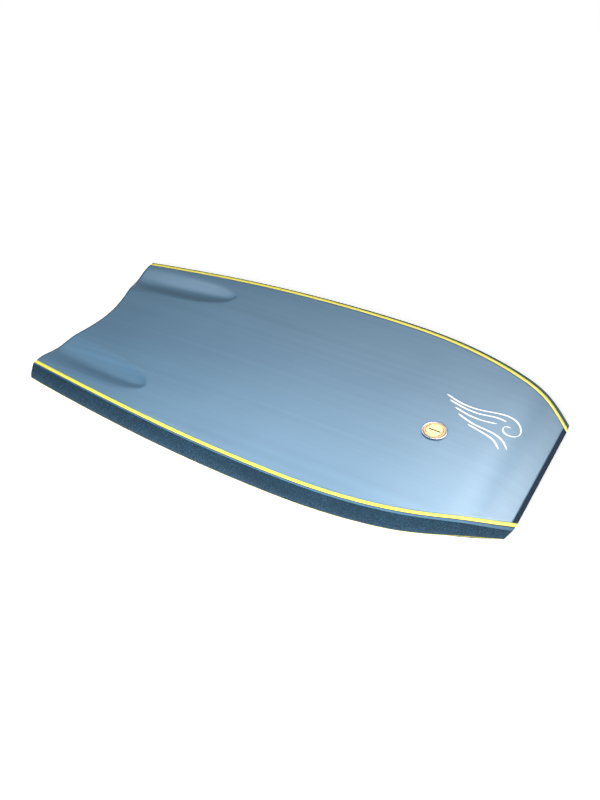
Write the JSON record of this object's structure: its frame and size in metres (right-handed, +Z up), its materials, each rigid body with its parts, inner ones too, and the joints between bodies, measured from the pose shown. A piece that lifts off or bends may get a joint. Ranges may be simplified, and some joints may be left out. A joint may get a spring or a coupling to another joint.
{
  "type": "bodyboard",
  "caption": "Laminated foam bodyboard lying on its deck, with a crescent tail, tail channels, two-layer rails with pinlines and a leash plug.",
  "frame": {"origin": "centre of the board's outline, on the ground that it lies on, deck down", "axes": "+X to the nose, +Y to the rider's right, +Z up from the ground and out of the slick"},
  "size_m": [1.0676, 0.5892, 0.0715],
  "materials": {
    "slick": "glossy film with fine lengthwise streaks",
    "backing_foam": "closed-cell foam",
    "mesh": "open plastic weave",
    "core_foam": "beaded foam",
    "deck_foam": "textured closed-cell foam",
    "bumper_foam": "smooth closed-cell foam",
    "rail_foam": "speckled closed-cell foam",
    "chine_foam": "speckled closed-cell foam",
    "pinline": "satin yellow film",
    "rail_pinline": "yellow foam strip",
    "stringer": "woven carbon tube",
    "cap_plastic": "moulded plastic",
    "plug_plastic": "moulded plastic",
    "badge": "polished pale gold disc",
    "trim_ring": "bright plated ring",
    "cord_bar": "drawn stainless bar",
    "seal": "soft moulded rubber"
  },
  "bodies": {
    "root": {"slick_skin": "slick", "slick_backing": "backing_foam", "slick_mesh": "mesh", "core": "core_foam", "deck_mesh": "mesh", "deck_skin": "deck_foam", "nose_bumper": "bumper_foam", "tail_bumper": "bumper_foam", "rail_left": "rail_foam", "chine_left": "chine_foam", "slick_pinline_left": "pinline", "rail_pinline_left": "rail_pinline", "rail_right": "rail_foam", "chine_right": "chine_foam", "slick_pinline_right": "pinline", "rail_pinline_right": "rail_pinline", "stringer_tube": "stringer", "stringer_tail_cap": "cap_plastic", "stringer_nose_cap": "cap_plastic", "stringer_bore_plug": "core_foam", "plug_slick_half": "plug_plastic", "plug_deck_half": "plug_plastic", "plug_badge": "badge", "plug_trim_ring": "trim_ring", "plug_cord_bar": "cord_bar", "plug_slick_seal": "seal", "plug_deck_seal": "seal"}
  },
  "joints": []
}
